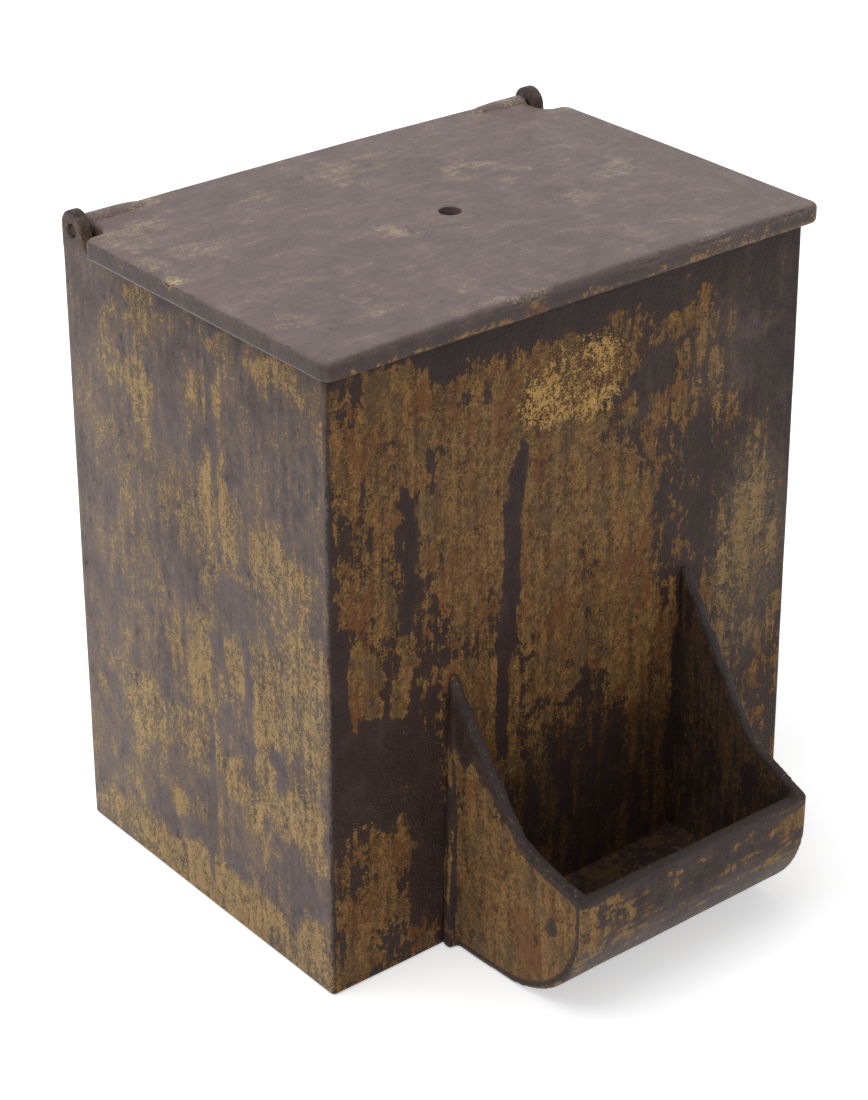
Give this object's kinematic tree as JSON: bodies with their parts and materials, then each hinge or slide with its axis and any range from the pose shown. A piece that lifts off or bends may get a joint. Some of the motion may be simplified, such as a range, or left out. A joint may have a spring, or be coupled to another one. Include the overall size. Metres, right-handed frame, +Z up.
{
  "type": "cigar box",
  "caption": "Upright cast-iron cigar box with a flat lid hinged between two round ears at the back, and a scoop-shaped match tray with scalloped cheeks on its front",
  "frame": {"origin": "middle of the box's foot, on the surface it stands on, under the middle of its four walls", "axes": "+Z up, the front with the match tray faces -Y, +X to the right when seen from the front; the lid turns about an axis along X near the top of the back wall"},
  "size_m": [0.1368, 0.1373, 0.154],
  "materials": {
    "bronze_painted_iron": "worn bronze paint over dark japan, streaked and flaking to dark iron",
    "dark_japanned_iron": "dull purplish-brown japan with faint tan smudges, worn grey on the arrises",
    "dark_inside_iron": "dark matt iron",
    "dark_steel": "dull darkened steel"
  },
  "bodies": {
    "box": {"box_body": "bronze_painted_iron", "bottom_plate": "dark_inside_iron", "bottom_screw_front_left": "dark_steel", "bottom_screw_front_right": "dark_steel", "bottom_screw_back_left": "dark_steel", "bottom_screw_back_right": "dark_steel", "match_tray": "bronze_painted_iron", "tray_screw_upper_left": "dark_steel", "tray_screw_upper_right": "dark_steel", "tray_screw_lower_left": "dark_steel", "tray_screw_lower_right": "dark_steel", "hinge_pin_left": "dark_steel", "hinge_pin_right": "dark_steel"},
    "lid": {"lid": "dark_japanned_iron", "knob_rivet_stub": "dark_steel"}
  },
  "joints": [
    {"name": "lid_hinge", "type": "hinge", "parent": "box", "child": "lid", "pos_m": [0, 0.0431, 0.1494], "axis": [-1, 0, 0], "range_deg": [0, 106]}
  ]
}
